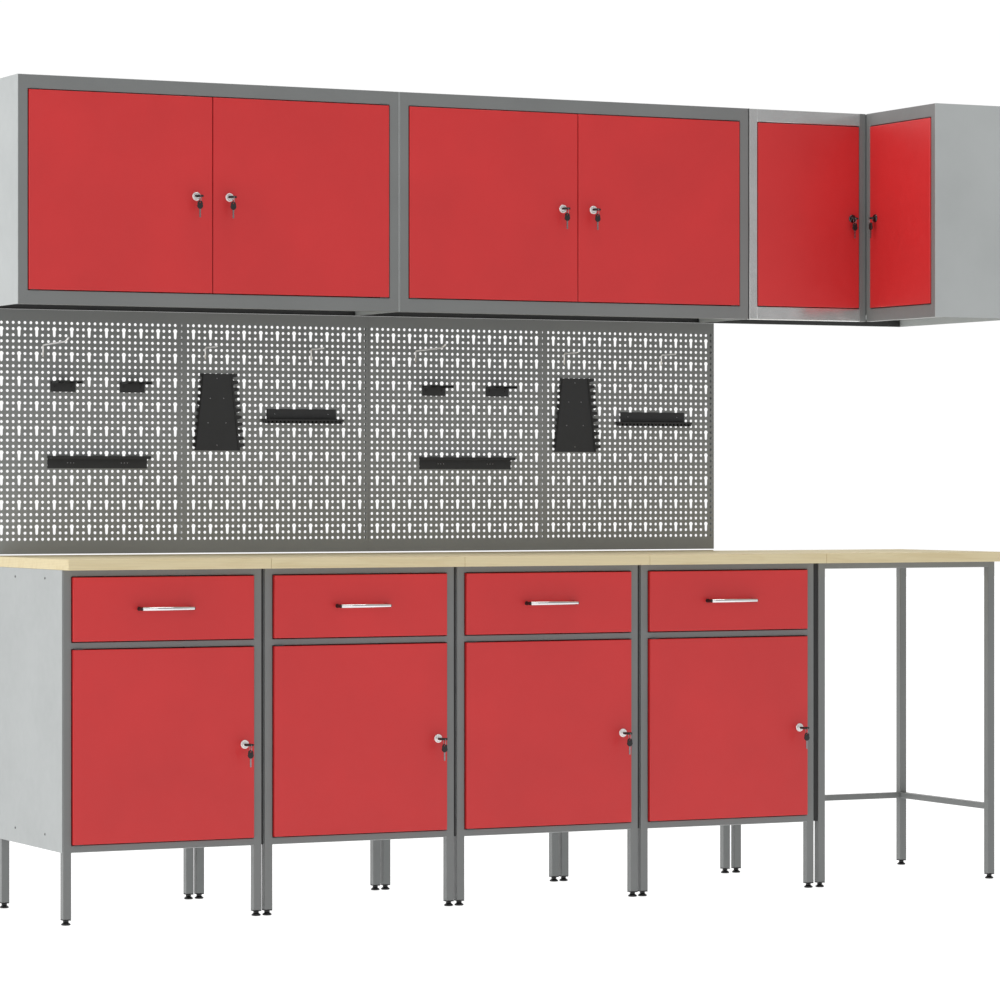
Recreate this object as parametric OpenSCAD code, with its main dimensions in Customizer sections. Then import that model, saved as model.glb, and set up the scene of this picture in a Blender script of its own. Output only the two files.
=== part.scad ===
// Modular workshop wall: four drawer cabinets with worktops, an open corner stand,
// two pegboards, two double-door wall cabinets and an L-shaped corner wall cabinet.
// Millimetres, +X along the row, +Y towards the wall, +Z up.
// The origin is on the floor under the centre of the whole set.

/* [Base cabinets] */
// Width of one base cabinet over its side sheets
cab_w = 500; // [494:1:502]
// Spacing from one base cabinet to the next
cab_pitch = 505; // [504:1:507]
// Depth of the base frame
cab_d = 450; // [430:5:455]
// Side of the square frame tube
tube = 20; // [17:1:21]
// Height of the horizontal front rails
rail_h = 15; // [14:1:18]
// Height of the underside of the cabinet body above the floor
body_z = 168; // [150:1:190]
// Height of the underside of the worktop
top_z = 823; // [815:1:828]
// Thickness of a worktop board
top_t = 25; // [18:1:29]
// Front overhang of the worktop
top_overhang = 40; // [20:5:60]
// Height of the drawer opening
drawer_h = 153; // [142:1:170]
// Proud projection of the base doors and drawer fronts
proud = 8; // [5:1:10]

/* [Wall cabinets] */
// Width of a double-door wall cabinet
wall_w = 988; // [960:1:989]
// Spacing from one wall cabinet to the next
wall_pitch = 989.5; // [989:0.5:995]
// Depth of the wall cabinets
wall_d = 265; // [250:5:280]
// Height of the wall cabinets
wall_h = 542; // [500:1:600]
// Height of the wall cabinets' underside above the floor
wall_z = 1447; // [1447:1:1490]
// Length of each leg of the L in front of the other leg
corner_leg = 351; // [345:1:370]
// Width of the outer stiles
stile = 25; // [22:1:30]
// Height of the top and bottom rails
wall_rail = 33; // [25:1:40]

/* [Doors and locks] */
// Gap round every door and drawer front
gap = 2; // [1.8:0.1:2.4]
// Opening angle of the doors, drawn shut at 0
door_angle = 0; // [0:5:60]
// How far the drawers are drawn out
drawer_out = 0; // [0:10:330]

/* [Pegboards] */
// Width of one field of holes; a pegboard has two
field_w = 498.35; // [494:0.05:499]
// Height of one pegboard
peg_h = 593; // [580:1:593]
// Spacing of the holes
peg_pitch = 15; // [14:0.5:15]

/* [Hidden] */
$fn = 48;
cabs = 4;
sheet = 1.2;
wall_t = 1.5;
slit = 0.2;                            // keeps the tubes of a frame separate solids
side_t = 1.5;
overlap = 0.5;                         // cutters run past the faces they cut
ywall = 470;                           // wall plane behind the set
stand_x0 = 2027;
stand_w = 530;
set_x1 = 2560;                         // right-hand wall
wall_x0 = -37;
wall_y0 = ywall - wall_d;              // front plane of the wall cabinets
corner_x0 = wall_x0 + 2 * wall_pitch;
inner_x = corner_x0 + corner_leg;      // inner corner of the L
arm_y0 = wall_y0 - 336;                // front end of the L's second leg
corner_post = 20;
mid_z = top_z - 2 * rail_h - drawer_h;
low_z = body_z + side_t;
pin_in = 9.5;                          // hinge pin to the door's edge
base_axis_y = -2;
wall_proud = 2;
wall_axis_y = wall_y0 + 3;
arm_axis_x = inner_x + 3;
tray_base = 18;
tray_wall = 16;
leaf_t = 1.4;
pin_r = 2.5;
bore_r = 2.55;
barrel_r = 8;
plug_r = 6;
base_lock_in = 24.5;
wall_lock_in = 42;
corner_lock_in = [21, 27];
base_key = 40;                         // how far a key stands out of its lock
wall_key = 28;
corner_key = 17;
base_lock_z = 408;
wall_lock_z = 1714;
foot_z = 14;                           // underside of a leg tube
runner_z0 = 690;
shelf_z = 398;
box_w = 430;
box_d = 400;
box_h = 105;
box_z = 672;
handle_span = 128;
handle_z = 731.5;
peg_x0 = -14.6;
peg_w = 2 * field_w - 0.5;
peg_columns = 33;
peg_margin = (field_w - (peg_columns - 1) * peg_pitch) / 2;
peg_row0 = 32.3;                       // top row below the board's top edge
peg_rows = 36;
peg_y = 455;
peg_z = 853;
peg_hole_r = 3.5;
fix_r = 4;
steel = "#6f7372";
pale = "#bfc4c3";
red = "#bf3c3e";
beech = "#d0bd92";
black = "#1d1d1d";
chrome = "#c9cbcd";
x_mid = (wall_x0 + set_x1) / 2;
y_mid = (arm_y0 + ywall) / 2;

// Everything below is drawn from the first cabinet's front left corner, then centred
module place() {
    translate([-x_mid, -y_mid, 0]) children();
}

// Box from one corner to the other
module span(a, b) {
    translate(a) cube(b - a);
}

// Square tube along axis 0, 1 or 2, open at both ends
module tube_bar(a, b, axis) {
    inner_a = [for (i = [0:2]) i == axis ? a[i] - overlap : a[i] + wall_t];
    inner_b = [for (i = [0:2]) i == axis ? b[i] + overlap : b[i] - wall_t];
    difference() {
        span(a, b);
        span(inner_a, inner_b);
    }
}

// Cylinder along Y, from y0 to y1
module rod_y(x, z, y0, y1, r) {
    translate([x, y0, z]) rotate([-90, 0, 0]) cylinder(h = y1 - y0, r = r);
}

// The four legs of one base unit
module legs(x0, x1, y1) {
    for (x = [x0, x1 - tube], y = [0, y1 - tube])
        tube_bar([x, y, foot_z], [x + tube, y + tube, top_z], 2);
}

// Rails along X at front or back
module rail_x(x0, x1, y, z, h) {
    tube_bar([x0 + tube + slit, y, z], [x1 - tube - slit, y + tube, z + h], 0);
}

// Rails along Y at the sides
module rail_y(x, y1, z, h) {
    tube_bar([x, tube + slit, z], [x + tube, y1 - tube - slit, z + h], 1);
}

module base_frames() {
    color(steel) place() for (i = [0:cabs - 1]) {
        x0 = i * cab_pitch + side_t;
        x1 = i * cab_pitch + cab_w - side_t;
        legs(x0, x1, cab_d);
        for (y = [0, cab_d - tube], z = [low_z, top_z - rail_h])
            rail_x(x0, x1, y, z, rail_h);
        rail_x(x0, x1, 0, mid_z, rail_h);
        for (x = [x0, x1 - tube], z = [low_z, top_z - rail_h])
            rail_y(x, cab_d, z, rail_h);
    }
}

module base_side_sheets() {
    color(pale) place() for (i = [0:cabs - 1], x = [0, cab_w - side_t])
        span([i * cab_pitch + x, 0, body_z], [i * cab_pitch + x + side_t, cab_d, top_z]);
}

module base_back_sheets() {
    color(pale) place() for (i = [0:cabs - 1])
        span([i * cab_pitch, cab_d, body_z], [i * cab_pitch + cab_w, cab_d + sheet, top_z]);
}

module base_floor_sheets() {
    color(pale) place() for (i = [0:cabs - 1]) {
        x0 = i * cab_pitch + side_t + tube + slit;
        x1 = i * cab_pitch + cab_w - side_t - tube - slit;
        span([x0, 0, body_z], [x1, cab_d, low_z]);
    }
}

// One loose shelf in each cupboard, a folded sheet with a front lip
module base_shelves() {
    color(pale) place() for (i = [0:cabs - 1]) {
        x0 = i * cab_pitch + side_t + 1;
        x1 = i * cab_pitch + cab_w - side_t - 1;
        span([x0, tube + 22, shelf_z], [x1, cab_d - tube - 1, shelf_z + 2]);
    }
}

module drawer_runners() {
    color(chrome) place() for (i = [0:cabs - 1], side = [0, 1]) {
        x = i * cab_pitch + (side == 0 ? side_t + tube + 0.3 : cab_w - side_t - tube - 9.3);
        span([x, 12, runner_z0], [x + 9, cab_d - 2, runner_z0 + 35]);
    }
}

module side_rivets() {
    rivet_y = [120, 328];
    rivet_z = [203, 802];
    color(black) place() for (i = [0:cabs - 1], y = rivet_y, z = rivet_z) {
        translate([i * cab_pitch - 1, y, z]) rotate([0, 90, 0]) cylinder(h = 1, r = 3);
        translate([i * cab_pitch + cab_w, y, z]) rotate([0, 90, 0]) cylinder(h = 1, r = 3);
    }
}

module stand_frame() {
    color(steel) place() {
        x1 = stand_x0 + stand_w;
        legs(stand_x0, x1, cab_d);
        for (y = [0, cab_d - tube])
            rail_x(stand_x0, x1, y, top_z - rail_h, rail_h);
        rail_x(stand_x0, x1, cab_d - tube, 180, rail_h);
        for (x = [stand_x0, x1 - tube], z = [180, top_z - rail_h])
            rail_y(x, cab_d, z, rail_h);
    }
}

module worktops() {
    board_pitch = 507;
    y1 = ywall - 10;
    color(beech) place() {
        for (i = [0:cabs - 1])
            span([i * board_pitch, -top_overhang, top_z], [(i + 1) * board_pitch - 0.5, y1, top_z + top_t]);
        span([cabs * board_pitch, -top_overhang, top_z], [set_x1, y1, top_z + top_t]);
    }
}

// Tube plug with lip, threaded stem and disc
module foot(x, y) {
    translate([x, y, 0]) {
        cylinder(h = 4, r = 11);
        translate([0, 0, 4]) cylinder(h = 4, r = 8);
        translate([0, 0, 8]) cylinder(h = 4, r = 4);
        span([-tube / 2, -tube / 2, 11.5], [tube / 2, tube / 2, foot_z]);
    }
}

module levelling_feet() {
    color(black) place() {
        for (i = [0:cabs - 1], x = [side_t + tube / 2, cab_w - side_t - tube / 2], y = [0, cab_d - tube])
            foot(i * cab_pitch + x, y + tube / 2);
        for (x = [tube / 2, stand_w - tube / 2], y = [0, cab_d - tube])
            foot(stand_x0 + x, y + tube / 2);
    }
}

// Front frame of a double-door cabinet, with a flat keeper bar behind the split
module wall_frame(x0) {
    color(steel) place() {
        y0 = wall_y0;
        z1 = wall_z + wall_h;
        for (x = [x0 + sheet, x0 + wall_w - stile])
            tube_bar([x, y0, wall_z], [x + stile - sheet, y0 + tube, z1], 2);
        for (z = [wall_z, z1 - wall_rail])
            tube_bar([x0 + stile + slit, y0, z], [x0 + wall_w - stile - slit, y0 + tube, z + wall_rail], 0);
        xc = x0 + wall_w / 2;
        span([xc - 15, y0 + 15.5, wall_z + wall_rail + slit], [xc + 15, y0 + 19.5, z1 - wall_rail - slit]);
    }
}

// Sheet case of a double-door cabinet: sides, top, raised bottom and back
module wall_case(x0) {
    color(pale) place() {
        x1 = x0 + wall_w;
        y0 = wall_y0;
        z1 = wall_z + wall_h;
        for (x = [x0, x1 - sheet])
            span([x, y0, wall_z], [x + sheet, ywall, z1]);
        case_back(x0 + sheet + slit, x1 - sheet - slit);
        for (z = [wall_z + 18, z1 - sheet])
            span([x0 + sheet + slit, y0 + tube + slit, z],
                 [x1 - sheet - slit, ywall - sheet - slit, z + sheet]);
    }
}

// Back sheet with four wall-fixing holes
module case_back(x0, x1) {
    difference() {
        span([x0, ywall - sheet, wall_z], [x1, ywall, wall_z + wall_h]);
        for (x = [x0 + 45, x1 - 45], z = [wall_z + 60, wall_z + wall_h - 60])
            rod_y(x, z, ywall - 2, ywall + 1, fix_r);
    }
}

module corner_frame() {
    color(steel) place() {
        z1 = wall_z + wall_h;
        x0 = corner_x0;
        // the leg that faces the room
        tube_bar([x0 + sheet, wall_y0, wall_z], [x0 + stile, wall_y0 + tube, z1], 2);
        tube_bar([inner_x - corner_post, wall_y0, wall_z], [inner_x, wall_y0 + tube, z1], 2);
        for (z = [wall_z, z1 - wall_rail])
            tube_bar([x0 + stile + slit, wall_y0, z],
                     [inner_x - corner_post - slit, wall_y0 + tube, z + wall_rail], 0);
        // the leg that faces along the row
        tube_bar([inner_x, wall_y0 - corner_post - slit, wall_z],
                 [inner_x + tube, wall_y0 - slit, z1], 2);
        tube_bar([inner_x, arm_y0 + sheet, wall_z], [inner_x + tube, arm_y0 + corner_post, z1], 2);
        for (z = [wall_z, z1 - wall_rail])
            tube_bar([inner_x, arm_y0 + corner_post + slit, z],
                     [inner_x + tube, wall_y0 - corner_post - 2 * slit, z + wall_rail], 1);
    }
}

module corner_case() {
    color(pale) place() {
        z1 = wall_z + wall_h;
        x1 = set_x1;
        x_in = inner_x + tube + slit;
        span([corner_x0, wall_y0, wall_z], [corner_x0 + sheet, ywall, z1]);
        span([inner_x, arm_y0, wall_z], [x1, arm_y0 + sheet, z1]);
        span([x1 - sheet, arm_y0 + sheet + slit, wall_z], [x1, ywall, z1]);
        case_back(corner_x0 + sheet + slit, x1 - sheet - slit);
        for (z = [wall_z + 18, z1 - sheet]) {
            span([corner_x0 + sheet + slit, wall_y0 + tube + slit, z],
                 [x_in - slit, ywall - sheet - slit, z + sheet]);
            span([x_in, arm_y0 + sheet + slit, z],
                 [x1 - sheet - slit, ywall - sheet - slit, z + sheet]);
        }
    }
}

module wall_shelves() {
    z = wall_z + wall_h / 2 - 32;
    y0 = wall_y0 + 30;
    color(pale) place() {
        for (i = [0, 1])
            span([wall_x0 + i * wall_pitch + 2, y0, z],
                 [wall_x0 + i * wall_pitch + wall_w - 2, ywall - 2, z + 2]);
        span([corner_x0 + 2, y0, z], [inner_x + 30, ywall - 2, z + 2]);
        span([inner_x + 30 + slit, arm_y0 + 4, z], [set_x1 - 2, ywall - 2, z + 2]);
    }
}

// Sheet with a return flange all round and one stiffener behind the middle
module pegboard(n) {
    x0 = peg_x0 + n * 2 * field_w;
    x1 = x0 + peg_w;
    xc = x0 + peg_w / 2;
    y1 = peg_y + sheet;
    z1 = peg_z + peg_h;
    z_top = z1 - peg_row0;
    z_low = z_top - (peg_rows - 1) * peg_pitch;
    color(steel) place() {
        difference() {
            span([x0, peg_y, peg_z], [x1, y1, z1]);
            for (x = [x0 + peg_margin, x1 - peg_margin], z = [z_low, z_top])
                rod_y(x, z, peg_y - 1, y1 + 1, peg_hole_r);
        }
        for (x = [x0, xc - 8, xc + 8 - sheet, x1 - sheet])
            span([x, y1 + slit, peg_z], [x + sheet, ywall, z1]);
        for (z = [peg_z, z1 - sheet], x = [x0 + sheet + slit, xc + 8 + slit])
            span([x, y1 + slit, z], [x + peg_w / 2 - 8 - sheet - 2 * slit, ywall, z + sheet]);
    }
}

// Hinge plate fixed to a rail, with a pin pointing down (dir -1) or up (dir 1)
module hinge_leaf(pos, size, dir) {
    translate(pos) {
        translate([size[0], size[1], dir > 0 ? 0 : -leaf_t]) cube([size[2], size[3], leaf_t]);
        translate([0, 0, dir > 0 ? leaf_t - 0.1 : -leaf_t - 6]) cylinder(h = 6.1, r = pin_r);
    }
}

// The two leaves of one door
module leaf_pair(x, y, z0, z1, size) {
    hinge_leaf([x, y, z0], size, 1);
    hinge_leaf([x, y, z1], size, -1);
}

module hinge_plates() {
    leaf_x = [-5, -4.5, 20, 20];
    color(chrome) place() {
        for (i = [0:cabs - 1])
            leaf_pair(base_axis_x(i), base_axis_y, low_z + rail_h, mid_z, leaf_x);
        for (i = [0:3])
            leaf_pair(wall_hinge_x(i), wall_axis_y, wall_z + wall_rail, wall_z + wall_h - wall_rail,
                      i % 2 == 0 ? leaf_x : [-15, -4.5, 20, 20]);
        leaf_pair(corner_x0 + stile + gap + pin_in, wall_axis_y, wall_z + wall_rail,
                  wall_z + wall_h - wall_rail, leaf_x);
        leaf_pair(arm_axis_x, arm_y0 + corner_post + gap + pin_in, wall_z + wall_rail,
                  wall_z + wall_h - wall_rail, [-4.5, -5, 20, 20]);
    }
}

function base_axis_x(i) = i * cab_pitch + side_t + tube + gap + pin_in;
function wall_cab_x(i) = wall_x0 + floor(i / 2) * wall_pitch;
function wall_hinge_x(i) = i % 2 == 0 ? wall_cab_x(i) + stile + gap + pin_in
    : wall_cab_x(i) + wall_w - stile - gap - pin_in;

// Open-backed folded tray in the XZ plane: front face at y = 0, returns towards +Y
module tray(w, h, t) {
    difference() {
        cube([w, t, h]);
        translate([sheet, sheet, sheet]) cube([w - 2 * sheet, t, h - 2 * sheet]);
    }
}

// Door tray with pin bores and a lock barrel, hinge edge at x = 0
module door_leaf(w, h, t, axis_y, lock_x, lock_z) {
    color(red) difference() {
        tray(w, h, t);
        translate([pin_in, axis_y, -1]) cylinder(h = h + 2, r = bore_r);
        rod_y(lock_x, lock_z, -1, 3, barrel_r + 0.1);
    }
    color(chrome) difference() {
        union() {
            rod_y(lock_x, lock_z, -3, -0.1, 10.5);
            rod_y(lock_x, lock_z, -0.2, t, barrel_r);
        }
        rod_y(lock_x, lock_z, -4, t + 1, plug_r + 0.05);
    }
}

// Turning part of a lock: plug with the key in it, and the cam on its rear end
module lock_core(front, rear, key) {
    color(chrome) union() {
        rod_y(0, 0, front - 0.4, rear, plug_r);
        span([-4, front - key / 2, -1.2], [4, front - 0.2, 1.2]);
    }
    color(black) span([-9, front - key, -2], [9, front - 0.2 * key, 2]);
    color(chrome) span([-4, rear + slit, -36], [4, rear + slit + 2.5, 6]);
}

module base_door(i) {
    w = cab_w - 2 * (side_t + tube + gap);
    z0 = low_z + rail_h + gap;
    h = mid_z - gap - z0;
    place() translate([base_axis_x(i), base_axis_y, 0]) rotate([0, 0, -door_angle])
        translate([-pin_in, -proud - base_axis_y, z0])
            door_leaf(w, h, tray_base, proud + base_axis_y, w - base_lock_in, base_lock_z - z0);
}

module base_lock(i) {
    w = cab_w - 2 * (side_t + tube + gap);
    place() translate([base_axis_x(i), base_axis_y, 0]) rotate([0, 0, -door_angle])
        translate([w - base_lock_in - pin_in, -base_axis_y, base_lock_z])
            lock_core(-proud - 3, tube + 0.8, base_key);
}

wall_door_w = (wall_w - 2 * (stile + gap) - gap) / 2;
wall_door_z = wall_z + wall_rail + gap;
wall_door_h = wall_h - 2 * (wall_rail + gap);

module wall_door_at(i, lock) {
    side = i % 2 == 0 ? 0 : 1;
    place() translate([wall_hinge_x(i), wall_axis_y, 0]) mirror([side, 0, 0]) rotate([0, 0, -door_angle])
        if (lock)
            translate([wall_door_w - wall_lock_in - pin_in, wall_y0 - wall_axis_y, wall_lock_z])
                lock_core(-wall_proud - 3, tube + 0.8, wall_key);
        else
            translate([-pin_in, wall_y0 - wall_proud - wall_axis_y, wall_door_z])
                door_leaf(wall_door_w, wall_door_h, tray_wall, wall_axis_y - wall_y0 + wall_proud,
                          wall_door_w - wall_lock_in, wall_lock_z - wall_door_z);
}

module corner_door_at(i, lock) {
    w = i == 0 ? corner_leg - stile - corner_post - 2 * gap
        : wall_y0 - arm_y0 - 2 * corner_post - 2 * gap - slit;
    axis_y = wall_axis_y - wall_y0 + wall_proud;
    pos = i == 0 ? [corner_x0 + stile + gap + pin_in, wall_axis_y, 0]
        : [arm_axis_x, arm_y0 + corner_post + gap + pin_in, 0];
    // the second door faces -X and hinges at the front end of its leg
    place() translate(pos) rotate([0, 0, i == 0 ? -door_angle : 90 + door_angle])
        mirror([0, i, 0])
            if (lock)
                translate([w - corner_lock_in[i] - pin_in, -3, wall_lock_z])
                    lock_core(-wall_proud - 3, tube + 0.8, corner_key);
            else
                translate([-pin_in, -axis_y, wall_door_z])
                    door_leaf(w, wall_door_h, tray_wall, axis_y, w - corner_lock_in[i],
                              wall_lock_z - wall_door_z);
}

// Open-topped drawer box with its sliding members beside it
module drawer_box(i) {
    x0 = i * cab_pitch + (cab_w - box_w) / 2;
    place() translate([0, -drawer_out, 0]) {
        color(pale) translate([x0, 10.2, box_z]) difference() {
            cube([box_w, box_d, box_h]);
            translate([sheet, sheet, sheet]) cube([box_w - 2 * sheet, box_d - 2 * sheet, box_h]);
        }
        color(chrome) for (x = [x0 - slit - 2.4, x0 + box_w + slit])
            span([x, 12, runner_z0 + 6], [x + 2.4, 10 + box_d, runner_z0 + 29]);
    }
}

module drawer_front(i) {
    w = cab_w - 2 * (side_t + tube + gap);
    z0 = mid_z + rail_h + gap;
    h = top_z - rail_h - gap - z0;
    color(red) place()
        translate([i * cab_pitch + side_t + tube + gap, -proud - drawer_out, z0])
            tray(w, h, tray_base);
}

// Round bow handle on two posts
module drawer_handle(i) {
    bar_y = -proud - 24;
    color(chrome) place() translate([i * cab_pitch + cab_w / 2, -drawer_out, handle_z]) {
        translate([-handle_span / 2 - 6, bar_y, 0]) rotate([0, 90, 0])
            cylinder(h = handle_span + 12, r = 5);
        for (x = [-handle_span / 2, handle_span / 2])
            rod_y(x, 0, bar_y, -proud, 4.5);
    }
}

// Place a holder on both pegboards, x from the board's left edge
module on_boards(x, z) {
    place() for (n = [0, 1])
        translate([peg_x0 + n * 2 * field_w + x, peg_y, z]) children();
}

// Small holder: back plate with a ledge along its top
module hook_holder() {
    w = 65;
    span([0, -2, 0], [w, -0.1, 26]);
    span([0, -52, 24], [w, -2.3, 26]);
}

module hook_holders() {
    color(black) for (x = [148.6, 328.2])
        on_boards(x, 1247) hook_holder();
}

// Long low rack: back plate with a ledge of round holes along its top
module tool_bars() {
    w = 258;
    h = 30;
    hole_gap = 24;
    color(black) on_boards(141, 1061) {
        span([0, -2, 0], [w, -0.1, h]);
        difference() {
            span([0, -30, h - 2], [w, -2.3, h]);
            for (k = [1:floor(w / hole_gap) - 1])
                translate([k * hole_gap, -16, h - 3]) cylinder(h = 4, r = 6);
        }
    }
}

// Drill rack: back plate over a wider stepped ledge
module drill_racks() {
    w = 189;
    wide = 215;
    color(black) on_boards(717, 1174) {
        span([0, -2, 11.2], [w, -0.1, 36]);
        span([(w - wide) / 2, -22, 0], [(w + wide) / 2, -0.1, 11]);
    }
}

// Tapered spanner rack: a backing plate between two flared wings
module plier_racks() {
    low = 115;
    high = 74;
    h = 190;
    flare = 13;
    reach = 11;
    color(black) on_boards(584, 1106) {
        rotate([90, 0, 0]) translate([0, 0, 0.1]) linear_extrude(height = 2)
            polygon([[-low / 2, 0], [low / 2, 0], [high / 2, h], [-high / 2, h]]);
        for (side = [-1, 1], step = [0:1]) {
            d0 = step * flare / 2;
            d1 = d0 + flare / 2 - slit;
            y = -2.3 - step * reach / 2;
            translate([0, y, 0]) rotate([90, 0, 0]) linear_extrude(height = reach / 2 - slit)
                polygon([[side * (low / 2 + d0), 0], [side * (low / 2 + d1), 0],
                         [side * (high / 2 + d1), h], [side * (high / 2 + d0), h]]);
        }
    }
}

// Single wire hooks: an upright in the holes and a prong towards the room
module wire_hook(prong) {
    wire = 2;
    translate([0, -2.5, 0]) cylinder(h = 30, r = wire);
    translate([0, -4.7, 28]) rotate([84, 0, 0]) cylinder(h = prong, r = wire);
}

module wire_hooks() {
    color(chrome) {
        on_boards(129.2, 1331) wire_hook(180);
        on_boards(field_w + 54.2, 1331) wire_hook(78);
        on_boards(field_w + 339.2, 1331) wire_hook(78);
    }
}

base_frames();
base_side_sheets();
base_back_sheets();
base_floor_sheets();
base_shelves();
drawer_runners();
side_rivets();
stand_frame();
worktops();
levelling_feet();
wall_frame(wall_x0);  // wall_frame_1
wall_frame(wall_x0 + wall_pitch);  // wall_frame_2
corner_frame();
wall_case(wall_x0);  // wall_case_1
wall_case(wall_x0 + wall_pitch);  // wall_case_2
corner_case();
wall_shelves();
pegboard(0);  // pegboard_1
pegboard(1);  // pegboard_2
hinge_plates();
hook_holders();
tool_bars();
drill_racks();
plier_racks();
wire_hooks();
for (i = [0:3]) {
    drawer_box(i);
    drawer_front(i);
    drawer_handle(i);
    base_door(i);
    base_lock(i);
    wall_door_at(i, false);
    wall_door_at(i, true);
}
for (i = [0:1]) {
    corner_door_at(i, false);
    corner_door_at(i, true);
}
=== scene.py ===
# Looks of the workshop cabinet and worktop set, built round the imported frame.
import math

import bmesh
import bpy
from mathutils import Matrix, Vector


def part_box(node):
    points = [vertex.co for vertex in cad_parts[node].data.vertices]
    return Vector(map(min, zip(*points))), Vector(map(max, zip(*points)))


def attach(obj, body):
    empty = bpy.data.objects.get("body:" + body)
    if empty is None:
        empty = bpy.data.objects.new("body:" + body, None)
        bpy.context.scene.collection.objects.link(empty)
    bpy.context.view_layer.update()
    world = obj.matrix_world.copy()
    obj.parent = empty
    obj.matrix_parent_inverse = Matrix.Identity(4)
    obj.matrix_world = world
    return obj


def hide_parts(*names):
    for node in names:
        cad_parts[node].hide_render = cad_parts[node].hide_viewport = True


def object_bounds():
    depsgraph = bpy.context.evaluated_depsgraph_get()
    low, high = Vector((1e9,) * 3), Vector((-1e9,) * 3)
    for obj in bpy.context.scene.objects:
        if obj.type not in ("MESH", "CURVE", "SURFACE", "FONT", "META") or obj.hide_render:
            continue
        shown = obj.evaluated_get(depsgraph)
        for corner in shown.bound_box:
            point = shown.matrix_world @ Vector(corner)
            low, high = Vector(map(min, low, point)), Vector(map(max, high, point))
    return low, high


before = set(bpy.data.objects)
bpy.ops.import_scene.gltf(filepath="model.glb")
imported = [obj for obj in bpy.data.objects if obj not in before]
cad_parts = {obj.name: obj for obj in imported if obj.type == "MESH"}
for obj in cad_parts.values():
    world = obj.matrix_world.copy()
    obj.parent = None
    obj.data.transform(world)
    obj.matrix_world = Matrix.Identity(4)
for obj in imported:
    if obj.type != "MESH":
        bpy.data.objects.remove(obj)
cad_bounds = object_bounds()

MM = 0.001
ROOT = "set"
CABS = 4
PEGBOARDS = ("pegboard_1", "pegboard_2")
WALL_CASES = ("wall_case_1", "wall_case_2", "corner_case")
DOORS = [f"base_door_{i}" for i in range(1, CABS + 1)]
DOORS += [f"wall_door_{i}" for i in range(1, 5)]
DOORS += ["corner_door_1", "corner_door_2"]

# Sheet-metal and hardware sizes, in metres
SHEET = 1.2 * MM
TUBE_RADIUS = 1.4 * MM
WELD = 1.6 * MM             # how far a rail's end is buried in its post
DOOR_RADIUS = 1.8 * MM      # outer bend of a folded door
FLANGE = 3 * MM             # how far a lock's rose stands proud of the door
PLUG_R = 6 * MM             # turning plug of a lock
CAM_THICK = 2.5 * MM
KEY_TUCK = 3 * MM           # the key grip ends this far short of the CAD key, for its split ring
RING_HOLE = 6 * MM          # from the tip of a key grip to the centre of its ring hole

# Perforation of the pegboards
PEG_PITCH = 15 * MM
PEG_COLUMNS = 33
PEG_ROWS = 36
PEG_FIELD = 498.35 * MM     # width of one perforated field with its border
PEG_MARGIN = 9.175 * MM     # from a field's edge to its first column
PEG_TOP = 32.3 * MM         # from the board's top edge to its first row
DOT_R = 3.75 * MM

# Camera of the product view
CAMERA_AT = (-4.4798, -9.0034, 1.016)
CAMERA_TURN = (math.pi / 2, 0, -0.4596)
CAMERA_LENS = 145.45
CAMERA_SHIFT = (-0.00978, -0.0132)


# ---- Materials

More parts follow.
